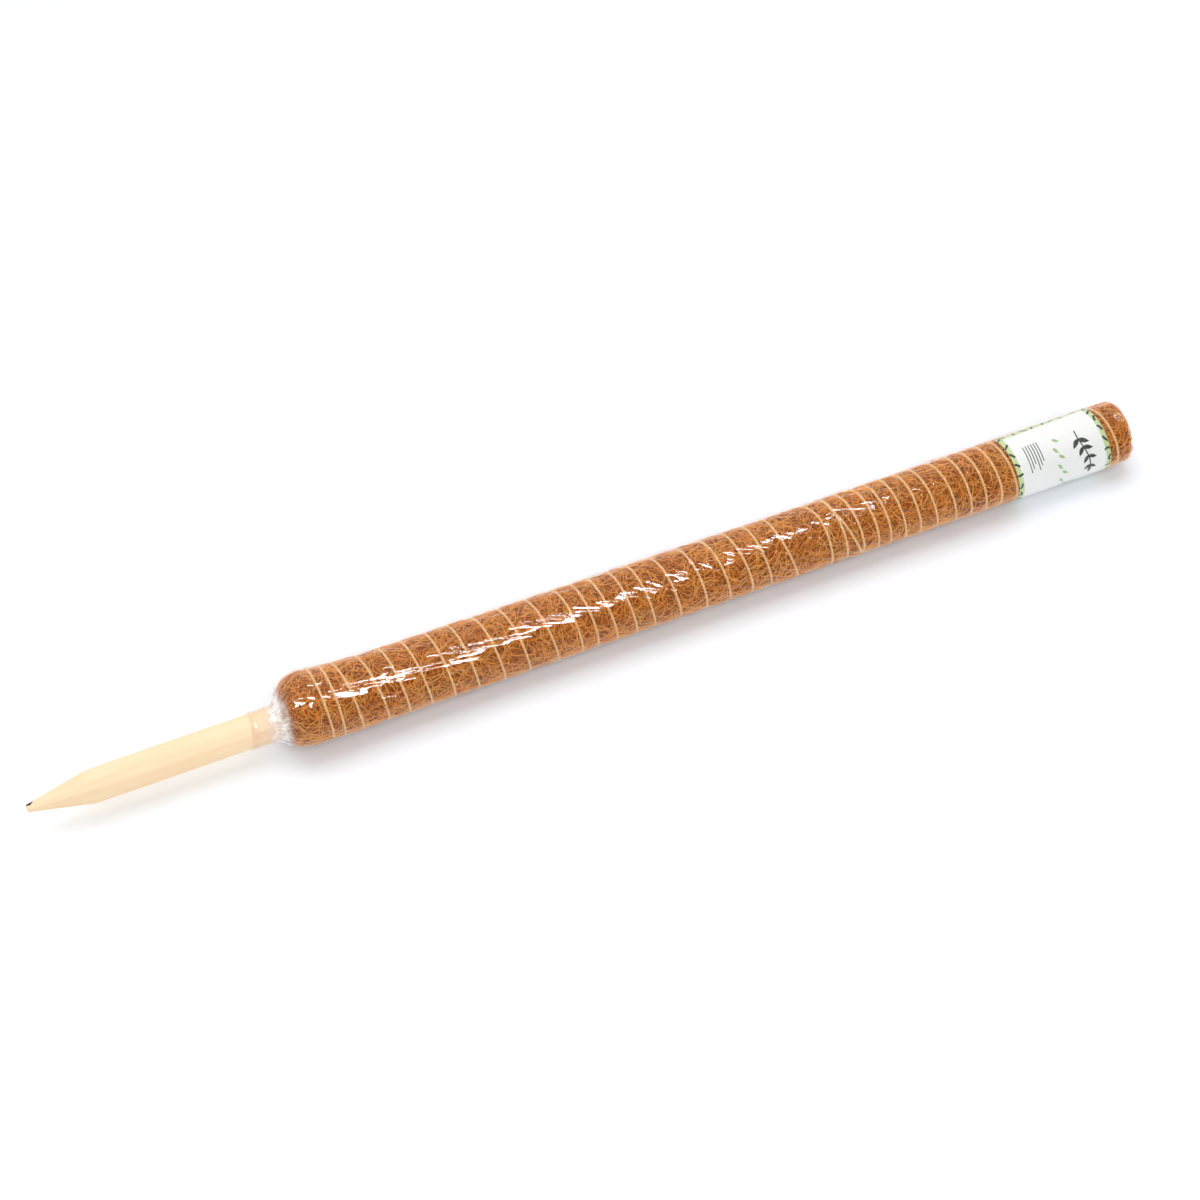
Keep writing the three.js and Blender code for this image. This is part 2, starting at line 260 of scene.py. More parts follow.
def ramp(tree, factor, stops):   # each stop is a place with a colour or a brightness
    made = node(tree, "ValToRGB", {"Fac": factor})
    elements = made.color_ramp.elements
    while len(elements) < len(stops):
        elements.new(1)
    for element, (place, colour) in zip(elements, stops):
        element.position = place
        element.color = colour if isinstance(colour, tuple) else (colour, colour, colour, 1)
    return made.outputs["Color"]


def calc(tree, operation, first, second=0.0, clamp=False):
    return node(tree, "Math", {0: first, 1: second}, operation=operation, use_clamp=clamp).outputs[0]


def vectorCalc(tree, operation, first, second=(0, 0, 0), output="Vector"):
    return node(tree, "VectorMath", {0: first, 1: second}, operation=operation).outputs[output]


def blendColours(tree, factor, first, second, kind="MIX"):
    made = node(tree, "Mix", {0: factor, 6: first, 7: second}, data_type="RGBA", blend_type=kind)
    return made.outputs[2]


def slantedPlaces(tree, source, size, turn):   # features of a size across and along, turned by degrees
    inputs = {"Vector": source, "Scale": (*size, 1), "Rotation": (0, 0, math.radians(turn))}
    return node(tree, "Mapping", inputs, vector_type="TEXTURE").outputs["Vector"]


def noiseAt(tree, places, scale=1.0, detail=3.0, roughness=0.5):
    inputs = {"Vector": places, "Scale": scale, "Detail": detail, "Roughness": roughness}
    return node(tree, "TexNoise", inputs).outputs["Fac"]


def stretchedNoise(tree, source, stretch, **settings):
    places = node(tree, "Mapping", {"Vector": source, "Scale": stretch}).outputs["Vector"]
    return noiseAt(tree, places, **settings)


def uvPlaces(tree):
    return node(tree, "UVMap", uv_map="OFBake").outputs["UV"]


def smoothStep(tree, value, start, end, low, high):
    inputs = {0: value, 1: start, 2: end, 3: low, 4: high}
    return node(tree, "MapRange", inputs, interpolation_type="SMOOTHSTEP").outputs[0]


def bumped(tree, height, strength, depth):
    inputs = {"Height": height, "Strength": strength, "Distance": depth}
    return node(tree, "Bump", inputs).outputs[0]


def seeThrough(tree, cover, inputs):   # a principled shader where cover is 1, and nothing where it is 0
    clear = node(tree, "BsdfTransparent").outputs[0]
    shader = node(tree, "BsdfPrincipled", inputs).outputs[0]
    return node(tree, "MixShader", {0: cover, 1: clear, 2: shader}).outputs[0]


def matte(tree, colour, roughness, height=None, strength=0.0, depth=0.0):
    inputs = {"Base Color": colour, "Roughness": roughness, "Specular IOR Level": 0.1}
    if height is not None:
        inputs["Normal"] = bumped(tree, height, strength, depth)
    return node(tree, "BsdfPrincipled", inputs).outputs[0]


# Twine: two lengths laid in one open spiral, as they are in the CAD model

twine = {
    "lowerTurns": 23,
    "upperTurns": 18,
    "start": 222.0,
    "end": 906.05,
    "lowerSpread": 1.36,   # spreads are multiples of the distance between turns of the upper length
    "longTurnSpread": 2.58,
    "turnsFromLongTurn": 1.25,
    "crowding": 1.67,
    "crowdedTurns": 1.6,
    "startShift": 0.025,   # turns between the zero angle and the first point
    # turn, distance that it slipped, and turns that went along
    "slips": [(2.0, -5.5, 1.1), (5.5, -3.0, 2.0), (10.8, 9.5, 1.5), (15.2, -4.0, 1.3), (18.3, 3.0, 1.6),
              (28.0, -5.5, 2.2), (33.5, -3.0, 1.5)],
    "lineRadius": 24.5,
    "strandRadius": 0.62,
    "strandOffset": 0.5,
    "layLength": 5.0,
    "stepLength": 0.9,
    "wander": 0.6,
    "forkAngle": 89.0,
    "forkEndAngle": 205.0,
    "topPull": 6.0,   # how far the last turn is drawn towards the top
    "pullFrom": 1.4,   # turns before the end
    "pullTurns": 0.6,
    "waves": [(2.3, 0.4, 1.0), (5.1, 2.0, 0.7), (11.7, 0.0, 0.4)],   # pace, start and height of the wander
    "slipShift": 0.25,   # turns between the zero angle and the side on which slips are given
    "endGap": 0.05,   # turns left free at the ends of a length
    "tailBeside": 1.1,
    "tailOver": 0.25,
    "riseHeight": 0.12,
    "risePace": 17,
    "endTaper": 0.5,
    "strandSides": 6,
    "uvSteps": 110,
    "spareTurns": 1.5,
    "tableSteps": 6000,
    "streakScale": (40, 5, 1),
    "roughness": 0.85,
    "light": linear(248, 208, 152),
    "dark": linear(218, 166, 110),
}
twine["turns"] = twine["lowerTurns"] + twine["upperTurns"]


def turnsSpread(count):
    long = twine["lowerTurns"] - twine["turnsFromLongTurn"]
    crowded = twine["crowding"] * (1 - np.exp(-count / twine["crowdedTurns"]))
    lower = twine["lowerSpread"] * np.minimum(count, long) - crowded
    return lower + twine["longTurnSpread"] * np.clip(count - long, 0, 1) + np.maximum(count - long - 1, 0)


def turnPlace(turn):
    share = turnsSpread(turn + 0.5) / turnsSpread(twine["turns"] + 1)
    return twine["start"] + (twine["end"] - twine["start"]) * share


def twinePlace(turn):   # with the uneven tension of a hand-wound thread
    uneven = sum(height * np.sin(pace * turn + start) for pace, start, height in twine["waves"])
    lastTurn = np.clip((turn - twine["turns"] + twine["pullFrom"]) / twine["pullTurns"], 0, 1)
    place = turnPlace(turn) + twine["wander"] * uneven + twine["topPull"] * lastTurn
    for slipped, distance, reach in twine["slips"]:
        place = place + distance * np.exp(-((turn - slipped - twine["slipShift"]) / reach) ** 2)
    return place


turnTable = np.linspace(-twine["spareTurns"], twine["turns"] + twine["spareTurns"], twine["tableSteps"])
placeTable = turnPlace(turnTable)


def twineDistance(along, angle):   # how far a place on the pole is from the nearest turn
    turn = np.interp(along, placeTable, turnTable)
    wound = angle / fullTurn - twine["startShift"]
    nearest = np.clip(wound + np.round(turn - wound), 0, twine["turns"])
    return along - twinePlace(nearest)


def drawnIn(along, angle, width):   # 1 under the twine, falling to 0 between its turns
    return np.exp(-(twineDistance(along, angle) / width) ** 2)


def twineShader(tree):
    streaks = stretchedNoise(tree, uvPlaces(tree), twine["streakScale"], detail=4)
    colour = ramp(tree, streaks, [(0.3, twine["dark"]), (0.62, twine["light"])])
    return matte(tree, colour, twine["roughness"], streaks, strength=0.5, depth=0.0002)


def twineStrands(along, radius, angle):   # two thin strands twisted round one line
    line = onWrap(along, radius, angle) * 1000
    steps = np.linalg.norm(np.diff(line, axis=0), axis=1)
    run = np.concatenate([[0], np.cumsum(steps)])
    outward = np.stack([np.zeros_like(angle), np.cos(angle), np.sin(angle)], axis=-1)
    across = np.cross(unit(np.gradient(line, axis=0)), outward)
    paths = []
    for strand in range(2):
        twist = (fullTurn * run / twine["layLength"] + strand * math.pi)[:, None]
        paths.append(line + twine["strandOffset"] * (np.cos(twist) * outward + np.sin(twist) * across))
    radii = np.full((2, len(run)), twine["strandRadius"])
    radii[:, [0, -1]] *= twine["endTaper"]
    return np.array(paths), np.array([outward, outward]), radii, run


def strandMesh(along, radius, angle):
    paths, outward, radii, run = twineStrands(along, radius, angle)
    points, faces, u, v, tube = tubes(paths / 1000, outward, radii / 1000, twine["strandSides"])
    repeat = u * (len(run) - 1) / twine["uvSteps"]
    repeat -= np.floor(repeat.min(axis=1, keepdims=True))
    sideUv = np.stack([np.clip(repeat, 0, 1), (v + tube[:, None]) / 2], axis=-1)
    capUv = np.full((faces[1].size + faces[2].size, 2), 0.5)
    return points, faces, np.concatenate([sideUv.reshape(-1, 2), capUv])


def twineLength(name, lines, material, cadNode):
    addPiece(name, *joined([strandMesh(*line) for line in lines]), material, cadNode, "twine")


def turnsBetween(first, last):   # a value for each step along the thread
    steps = round((last - first) * fullTurn * twine["lineRadius"] / twine["stepLength"])
    return np.linspace(first, last, steps)


def spiralLine(fromTurn, toTurn):
    turn = turnsBetween(fromTurn, toTurn)
    along = twinePlace(turn)
    radius = twine["lineRadius"] + swell(along) + twine["riseHeight"] * np.sin(twine["risePace"] * turn)
    return along, radius, fullTurn * (turn + twine["startShift"])


def forkLine():   # the lower thread's tail lies beside the upper one, then crosses to its next turn
    lower, shift = twine["lowerTurns"], twine["startShift"]
    leaving = lower + twine["forkAngle"] / 360 - shift
    landing = lower + twine["forkEndAngle"] / 360 - shift
    turn = turnsBetween(lower, landing)
    share = np.clip((turn - leaving) / (landing - leaving), 0, 1)
    crossed = twinePlace(turn) * (1 - share) + twinePlace(turn + 1) * share - twine["tailBeside"]
    return crossed, twine["lineRadius"] + twine["tailOver"] + 0 * turn, fullTurn * (turn + shift)


twineFibre = newMaterial("twineFibre", twineShader)
lower, upper, gap = twine["lowerTurns"], twine["turns"], twine["endGap"]
twineLength("twineLower", [spiralLine(gap, lower), forkLine()], twineFibre, "lower_twine")
twineLength("twineUpper", [spiralLine(lower + gap, upper - gap)], twineFibre, "upper_twine")


# Stake: a sanded dowel with knife-cut flats to a blunt point

stake = {
    "seeds": (3, 4),   # for the flats and for the unevenness
    "radius": 13.0,
    "tipRadius": 2.75,
    "pointLength": 52.0,
    "flats": 8,
    "flatShift": 0.09,   # how unevenly the flats are cut, in radians
    "flatReach": (0.98, 1.1),
    "edgeSoftness": 0.35,
    "sides": 96,
    "leastFacing": 0.05,
    "pointFrom": 1.2,   # close rows on the point and on a short run of the dowel behind it
    "pointBeyond": 16.0,
    "pointRows": 1.5,
    "dowelRows": 6.0,
    "shownInside": 10.0,   # how far in the coir the close rows and the hidden part end
    "hiddenEnd": 30.0,
    "tipBevel": 0.5,
    "topBevel": 0.8,
    "capRadius": 0.6,   # of the small face that closes each end
    "capUv": [[0.5, 0.01], [0.5, 0.97]],
    "uvPlaces": [0.02, 0.82, 0.86, 0.94],
    "unevenness": (0.09, 5, 40),   # height of the hills, and how many lie round and along
    "grainScale": (9, 260, 260),
    "broadScale": (5, 45, 45),
    "stainScale": 420,
    "stainReach": 0.007,   # of the stain from the tip and out from the axis, in metres
    "stainLeast": 0.001,
    "stainCorner": 0.0032,
    "roughness": 0.7,
    "pale": linear(246, 221, 184),
    "warm": linear(244, 212, 171),
    "streak": linear(241, 203, 160),
    "stain": linear(84, 54, 34),
}


def stakeRadius(along, angle, rng):
    flatCentres = fullTurn * (np.arange(stake["flats"]) + 0.5) / stake["flats"]
    flatCentres = flatCentres + rng.uniform(-stake["flatShift"], stake["flatShift"], stake["flats"])
    radius = stake["radius"] + 0 * along + 0 * angle
    softness = stake["edgeSoftness"]
    for centre in flatCentres:
        reach = stake["pointLength"] * rng.uniform(*stake["flatReach"])
        growth = (stake["radius"] - stake["tipRadius"]) / reach
        facing = np.maximum(np.cos(angle - centre), stake["leastFacing"])
        flat = (stake["tipRadius"] + growth * along) / facing
        share = np.clip(0.5 + 0.5 * (radius - flat) / softness, 0, 1)
        radius = radius * (1 - share) + flat * share - softness * share * (1 - share)
    return radius


def tipStain(tree, places):   # 1 in a dark corner of the blunt tip
    split = node(tree, "SeparateXYZ", {"Vector": places})
    fromTip = calc(tree, "SUBTRACT", split.outputs["X"], stakeLow.x)
    patch = calc(tree, "MULTIPLY", noiseAt(tree, places, scale=stake["stainScale"]), stake["stainReach"])
    stained = calc(tree, "LESS_THAN", fromTip, calc(tree, "ADD", patch, stake["stainLeast"]))
    corner = calc(tree, "ADD", split.outputs["Y"], split.outputs["Z"])
    inCorner = calc(tree, "GREATER_THAN", corner, pole["axisHeight"] / 1000 + stake["stainCorner"])
    return calc(tree, "MULTIPLY", stained, inCorner)


def stakeShader(tree):
    places = node(tree, "TexCoord").outputs["Object"]
    grain = stretchedNoise(tree, places, stake["grainScale"], detail=6, roughness=0.6)
    broad = stretchedNoise(tree, places, stake["broadScale"], detail=2)
    body = ramp(tree, grain, [(0.3, stake["warm"]), (0.6, stake["pale"])])
    streaks = calc(tree, "MULTIPLY", calc(tree, "SUBTRACT", broad, 0.55, True), 1.6, True)
    wood = blendColours(tree, streaks, body, stake["streak"])
    colour = blendColours(tree, tipStain(tree, places), wood, stake["stain"])
    return matte(tree, colour, stake["roughness"], grain, strength=0.25, depth=0.0003)


def stakeRows():
    shown, hidden = pole["coirBottom"] + stake["shownInside"], pole["coirTop"] - stake["hiddenEnd"]
    pointEnd = stake["pointLength"] + stake["pointBeyond"]
    point = np.arange(stake["pointFrom"], pointEnd, stake["pointRows"])
    dowel = np.arange(point[-1] + stake["dowelRows"], shown, stake["dowelRows"])
    top = pole["stakeTop"]
    tip, end = [0, 0, stake["tipBevel"]], [hidden, top - stake["topBevel"], top, top]
    along = np.concatenate([tip, point, dowel, end])
    texture = np.interp(along, [0, shown, hidden, top], stake["uvPlaces"])
    texture[[0, -1]] = [0, 1]
    return along, texture


def makeStake():
    along, texture = stakeRows()
    angle = np.arange(stake["sides"]) * fullTurn / stake["sides"]
    cutting, wearing = [np.random.default_rng(seed) for seed in stake["seeds"]]
    radius = stakeRadius(along[:, None], angle[None, :], cutting)
    radius[1] -= stake["tipBevel"]
    radius[[0, -1]] = stake["capRadius"]
    radius[-2] -= stake["topBevel"]
    u, v = np.broadcast_arrays(angle[None, :] / fullTurn, along[:, None] / pole["stakeTop"])
    radius += patches(wearing, u, v, *stake["unevenness"])
    points = onPole(along[:, None], radius, angle[None, :]).reshape(-1, 3)
    faces, uv = gridFaces(len(along), len(angle), True, texture)
    uv = np.concatenate([uv, np.repeat(stake["capUv"], stake["sides"], axis=0)])
    tipCap = np.arange(stake["sides"])[None, ::-1]
    faces = [faces, tipCap, faces.max() - tipCap]
    pine = newMaterial("stakePine", stakeShader)
    addPiece("stakeDowel", points, faces, uv, pine, "wooden_stake", "stake_wood")


makeStake()


# Coir: a dark mat under a tangle of separate fibres, both pulled in under the twine. The mat's dark colours
# are painted shade deep between the fibres, over the coir's own brown.

coir = {
    "matDepth": 1.9,
    "matDip": 0.7,
    "matSides": 180,
    "matSpacing": 2.4,
    "seed": 5,
    "lumps": (0.35, 40, 220),   # height, and how many lie round and along
    "boreOverlap": 0.4,   # how far the mat reaches into the stake
    "tangleScale": 900,
    "roughness": 0.95,
    "dipWidth": 2.4,
    "dip": 0.9,
    # painted shade: the mat is coloured darker than the fibres, as the gaps between them look in shade
    "matShadeDark": linear(100, 47, 12),
    "matShadeLight": linear(196, 112, 44),
}
fibres = {
    "seed": 21,
    "segments": 6,
    "bend": 0.06,
    "shades": 48,
    "highest": 0.2,   # over the coir's skin
    "lengthSpread": (0.6, 1.2),
    "curl": 0.25,
    "endTaper": 0.6,
    "sides": 3,
    "spacing": 0.5,
    "mottleScale": (7, 96, 1),
    "roughness": 0.6,
    "dark": linear(184, 97, 27),
    "middle": linear(252, 158, 58),
    "light": linear(254, 185, 92),
    "pale": linear(255, 207, 134),
    # Each layer's shade range is a band of the fibres' tones, and the deeper a layer lies, the darker its
    # band. That darkening is painted shade on the fibres lying under the others, beside their own spread of
    # tones.
    "layers": {
        "Under": {"pieces": 2, "perPiece": 4200, "length": (8, 22), "radius": (0.2, 0.34),
                  "lift": (-1.9, -0.9), "arch": 0.4, "shade": (0.0, 0.55)},
        "Over": {"pieces": 2, "perPiece": 3000, "length": (9, 26), "radius": (0.26, 0.44),
                 "lift": (-1.0, -0.35), "arch": 0.6, "shade": (0.15, 0.9)},
        "Loose": {"pieces": 1, "perPiece": 1500, "length": (12, 34), "radius": (0.18, 0.3),
                  "lift": (-0.5, -0.1), "arch": 0.4, "shade": (0.5, 1.0)},
    },
}


def coirProfile():
    bore = pole["boreRadius"]
    return [(pole["coirBottom"], bore)] + wrapProfile(0, 0) + [(pole["coirTop"], bore)]


def onCoir(profile, run, lift):   # along and radius at a height over the coir's skin
    along = atRun(profile, run, "along") + lift * atRun(profile, run, "outAlong")
    radius = atRun(profile, run, "radius") + lift * atRun(profile, run, "outRadius")
    return along, radius


def matShader(tree):
    places = node(tree, "TexCoord").outputs["Object"]
    tangle = noiseAt(tree, places, scale=coir["tangleScale"], detail=5, roughness=0.7)
    # the mat's tangle of colours, darker than the fibres': painted shade in the gaps between them
    colour = ramp(tree, tangle, [(0.35, coir["matShadeDark"]), (0.7, coir["matShadeLight"])])
    return matte(tree, colour, coir["roughness"], tangle, strength=0.8, depth=0.0008)


def makeMat():
    profile = evenProfile(coirProfile(), coir["matSpacing"])
    run, angle = profile["run"][:, None], np.arange(coir["matSides"])[None, :] * fullTurn / coir["matSides"]
    u, v = np.broadcast_arrays(angle / fullTurn, run / run.max())
    lift = patches(np.random.default_rng(coir["seed"]), u, v, *coir["lumps"]) - coir["matDepth"]
    lift -= coir["matDip"] * drawnIn(profile["along"][:, None], angle, coir["dipWidth"])
    lift[[0, -1]] = -coir["matDepth"]
    along, radius = onCoir(profile, run, lift)
    radius[[0, -1]] = pole["boreRadius"] - coir["boreOverlap"]
    faces, uv = gridFaces(len(run), coir["matSides"], closed=True)
    points = onWrap(along, radius, angle).reshape(-1, 3)
    addPiece("coirMat", points, [faces], uv, newMaterial("coirMat", matShader), "coir_wrap", "coir")


def fibreShader(tree):
    uv = uvPlaces(tree)
    shade = node(tree, "SeparateXYZ", {"Vector": uv}).outputs["Y"]
    colours = [fibres[name] for name in ("dark", "middle", "light", "pale")]
    plain = ramp(tree, shade, list(zip((0.0, 0.35, 0.75, 1.0), colours)))
    mottle = stretchedNoise(tree, uv, fibres["mottleScale"], detail=2)
    patchy = ramp(tree, mottle, [(0.25, 0.6), (0.7, 1)])
    return matte(tree, blendColours(tree, 0.55, plain, patchy, "MULTIPLY"), fibres["roughness"])


def fibreCourse(layer, rng, profile, share):   # distance run and angle along each fibre
    count, steps = layer["perPiece"], share.size
    chance = profile["radius"] / profile["radius"].sum()
    middle = rng.choice(profile["run"], count, p=chance)[:, None] + rng.uniform(-1, 1, (count, 1))
    length = rng.uniform(*layer["length"], (count, 1)) * rng.uniform(*fibres["lengthSpread"], (count, 1))
    bend = rng.normal(0, fibres["bend"], (count, 1))
    heading = rng.uniform(0, fullTurn, (count, 1)) + bend * length * share
    curl = rng.normal(0, fibres["curl"], (count, 1))
    heading += curl * np.sin(9 * share + rng.uniform(0, fullTurn, (count, 1)))
    stride = length / (steps - 1)
    forward = np.cumsum(np.cos(heading) * stride, axis=1)
    sideways = np.cumsum(np.sin(heading) * stride, axis=1)
    run = np.clip(middle + forward - forward[:, [steps // 2]], 0.5, profile["run"][-1] - 0.5)
    around = (sideways - sideways[:, [steps // 2]]) / atRun(profile, run, "radius")
    return run, rng.uniform(0, fullTurn, (count, 1)) + around


def fibreUv(layer, rng, u, v, fibre):   # each fibre lies in one row of shades
    count, shades = layer["perPiece"], fibres["shades"]
    lowShade, highShade = layer["shade"]
    row = (lowShade + (highShade - lowShade) * rng.beta(1.6, 1.6, count)) * shades
    row = np.floor(row).clip(0, shades - 1)
    wallUv = np.stack([u, (row[fibre][:, None] + 0.04 + 0.92 * v) / shades], axis=-1)
    capRow = np.repeat((row[:, None] + 0.5) / shades, fibres["sides"], axis=1)
    capUv = np.stack([np.full(capRow.shape, 0.5), capRow], axis=-1)
    return np.concatenate([part.reshape(-1, 2) for part in (wallUv, capUv, capUv)])


def fibrePiece(name, layer, rng, profile, material):
    count = layer["perPiece"]
    share = np.linspace(-0.5, 0.5, fibres["segments"] + 1)[None, :]
    run, angle = fibreCourse(layer, rng, profile, share)
    height = rng.uniform(*layer["lift"], (count, 1))
    lift = height + layer["arch"] * (1 - 8 * share ** 2) * rng.uniform(0.2, 1, (count, 1))
    lift = np.minimum(lift, fibres["highest"])
    lift -= coir["dip"] * drawnIn(atRun(profile, run, "along"), angle, coir["dipWidth"])
    paths = onWrap(*onCoir(profile, run, lift), angle)
    sideOut = atRun(profile, run, "outRadius")
    outward = [atRun(profile, run, "outAlong"), sideOut * np.cos(angle), sideOut * np.sin(angle)]
    thickness = rng.uniform(*layer["radius"], (count, 1)) * (1 - fibres["endTaper"] * (2 * share) ** 4)
    outward = np.stack(outward, axis=-1)
    points, faces, u, v, fibre = tubes(paths, outward, thickness / 1000, fibres["sides"])
    addPiece(name, points, faces, fibreUv(layer, rng, u, v, fibre), material, slot="coir")


def makeFibres():
    material = newMaterial("coirFibre", fibreShader)
    profile = evenProfile(coirProfile(), fibres["spacing"])
    seed = fibres["seed"]
    for name, layer in fibres["layers"].items():
        for number in range(layer["pieces"]):
            seed += 1
            fibrePiece(f"coir{name}{number + 1}", layer, np.random.default_rng(seed), profile, material)


makeMat()
makeFibres()


# Label: paper laid round the pole, with plain leaf sprigs and rules printed on it

label = {
    "seed": 8,
    "radius": 25.78,
    "thickness": 0.2,
    "firstAngle": 45.0,
    "arc": 205.0,
    "skew": 3.5,
    "border": 4.2,
    "farBorder": 5.8,
    "corner": 4.0,
    "rows": 84,
    "columns": 90,
    "paper": linear(237, 237, 235),
    "paperShade": linear(231, 232, 230),
    "borderGreen": linear(196, 212, 158),
    "borderShade": linear(189, 205, 150),
    "darkGreen": linear(12, 22, 15),
    "leafGreen": linear(150, 186, 116),
    "ruleGrey": linear(48, 56, 54),
    "roughness": 0.6,
    "ripples": [(0.08, 25.2, 5.6, 0.0), (0.06, -9.6, 13.6, 1.0)],   # height, turn across and up, start
    "printLift": 0.05,
    "markEnds": 5.0,   # kept free at each end of a border's side
    "markApart": (7, 12),
    "markReach": (2.6, 3.6),
    "markCurl": 1.3,
    "markWidth": 1.8,
    "markInset": 0.3,
    "sprig": {"base": (23.8, 59), "heading": -12, "length": 34, "pairs": 4, "leafLength": 9.5},
    "leafRow": {"leaves": 7, "first": 24.8, "apart": 7, "below": 4, "sway": 1.2, "size": (6.2, 2.6)},
    "rules": {"rows": 6, "first": (21.8, 13), "apart": 2.4, "step": 0.5, "width": 0.8},
}
label["height"] = pole["labelEnd"] - pole["labelStart"]
label["width"] = math.radians(label["arc"]) * label["radius"]


def onLabel(across, up, lift=0.0):   # across goes round the pole from the label's far edge, up along it
    skew = math.tan(math.radians(label["skew"]))
    leaning = across - skew * (up - label["height"] / 2)
    angle = math.radians(label["firstAngle"]) + leaning / label["radius"]
    along = pole["labelStart"] + up + skew * (across - label["width"] / 2)
    i, j = across / label["width"], up / label["height"]
    waves = sum(height * np.sin(a * i + b * j + start) for height, a, b, start in label["ripples"])
    return onWrap(along, label["radius"] + waves + lift, angle)


def paperShader(tree):
    width, height, border, farBorder = [label[key] for key in ("width", "height", "border", "farBorder")]
    spread = vectorCalc(tree, "MULTIPLY", uvPlaces(tree), (width, height, 0))
    middle = ((width + farBorder - border) / 2, height / 2, 0)
    folded = vectorCalc(tree, "ABSOLUTE", vectorCalc(tree, "SUBTRACT", spread, middle))
    window = ((width - farBorder - border) / 2, height / 2 - border)
    straight = [side - label["corner"] for side in window] + [0]
    beyond = vectorCalc(tree, "MAXIMUM", vectorCalc(tree, "SUBTRACT", folded, straight))
    distance = vectorCalc(tree, "LENGTH", beyond, output="Value")
    inBorder = calc(tree, "GREATER_THAN", distance, label["corner"])
    mottle = stretchedNoise(tree, spread, (0.5, 0.5, 1), detail=3)
    paper = blendColours(tree, mottle, label["paper"], label["paperShade"])
    green = blendColours(tree, mottle, label["borderGreen"], label["borderShade"])
    return matte(tree, blendColours(tree, inBorder, paper, green), label["roughness"])


def inkShader(tree, colour):
    mottle = stretchedNoise(tree, uvPlaces(tree), (30, 30, 1), detail=3)
    uneven = blendColours(tree, calc(tree, "MULTIPLY", mottle, 0.12), colour, label["paper"])
    return matte(tree, uneven, label["roughness"])


def makePaper():
    across = np.linspace(0, label["width"], label["columns"])[None, :]
    up = np.linspace(0, label["height"], label["rows"])[:, None]
    sheet = onLabel(across + 0 * up, up + 0 * across).reshape(-1, 3)
    faces, uv = gridFaces(label["rows"], label["columns"])
    material = newMaterial("labelPaper", paperShader)
    paper = addPiece("labelPaper", sheet, [faces], uv, material, "paper_label", "label_paper")
    inward = paper.modifiers.new("paperThickness", "SOLIDIFY")
    inward.thickness = label["thickness"] / 1000
    inward.offset = -1


def stroke(line, width):   # a ribbon of ink along a line of across, up points
    line = np.array(line, float)
    tangent = unit(np.gradient(line, axis=0))
    side = np.stack([-tangent[:, 1], tangent[:, 0]], axis=1)
    widths = np.broadcast_to(width, len(line))[:, None] / 2
    return np.stack([line - side * widths, line, line + side * widths], axis=1)


def leaf(base, heading, length, width):   # a pointed leaf from its stalk
    share = np.linspace(0, 1, 9)
    heading = math.radians(heading) + 0.35 * (share - 0.5)
    steps = np.stack([np.cos(heading), np.sin(heading)], axis=1) * length / 8
    line = np.array(base) + np.cumsum(steps, axis=0) - steps[0]
    return stroke(line, np.maximum(width * np.sin(math.pi * share ** 0.8), 0.12))


def ribbonMesh(ribbon):
    flat, faces = ribbon.reshape(-1, 2), gridFaces(*ribbon.shape[:2])[0]
    points = onLabel(flat[:, 0], flat[:, 1], label["printLift"])
    return points, [faces], (flat / [label["width"], label["height"]])[faces].reshape(-1, 2)


def printInk(name, ribbons, material):
    addPiece(name, *joined([ribbonMesh(ribbon) for ribbon in ribbons]), material, slot="label_paper")


def sprig(base, heading, length, pairs, leafLength):
    share = np.linspace(0, 1, 24)
    bend = math.radians(heading) + 0.5 * np.sin(3 * share)
    steps = np.stack([np.cos(bend), np.sin(bend)], axis=1) * length / 23
    stem = np.array(base) + np.cumsum(steps, axis=0)
    ribbons = [stroke(stem, 1.1)]
    for pair in range(pairs):
        place = int(5 + pair * 17 / max(pairs - 1, 1))
        lean = math.degrees(bend[place])
        size = leafLength * (1 - 0.09 * pair)
        ribbons.append(leaf(stem[place], lean + 52, size, size * 0.42))
        ribbons.append(leaf(stem[place], lean - 52, size, size * 0.42))
    ribbons.append(leaf(stem[-1], math.degrees(bend[-1]), leafLength * 0.8, leafLength * 0.34))
    return ribbons


def borderMark(rng, centre):   # a small curled stalk
    share = np.linspace(-1, 1, 11)
    heading = rng.uniform(0, fullTurn)
    curl = heading + rng.uniform(-label["markCurl"], label["markCurl"]) * share
    reach = rng.uniform(*label["markReach"])
    line = centre + np.cumsum(np.stack([np.cos(curl), np.sin(curl)], axis=1) * reach * 0.2, axis=0)
    return stroke(line - (line[5] - centre), label["markWidth"])


def borderMarks(rng):
    ribbons = []
    width, height, inset = label["width"], label["height"], label["border"] / 2
    sides = [((0, inset), (1, 0), width), ((0, height - inset), (1, 0), width)]
    sides += [((label["farBorder"] / 2, 0), (0, 1), height), ((width - inset, 0), (0, 1), height)]
    for start, direction, length in sides:
        place = label["markEnds"]
        while place < length - label["markEnds"]:
            ribbons.append(borderMark(rng, np.array(start) + np.array(direction) * place))
            place += rng.uniform(*label["markApart"])
    edge = label["markInset"]
    return [np.clip(ribbon, edge, [width - edge, height - edge]) for ribbon in ribbons]


def leafRow(leaves, first, apart, below, sway, size):   # small leaves that lean to and fro
    ribbons = []
    for number in range(leaves):
        side = (-1) ** number
        base = (first + apart * number, label["height"] / 2 - below + sway * side)
        ribbons.append(leaf(base, 40 + 10 * side, *size))
    return ribbons


def plainRules(rows, first, apart, step, width):   # lines of three lengths in turn
    ribbons = []
    for row in range(rows):
        count = 46 - 6 * (row % 3)
        ribbons.append(stroke([(first[0] + step * i, first[1] + apart * row) for i in range(count)], width))
    return ribbons


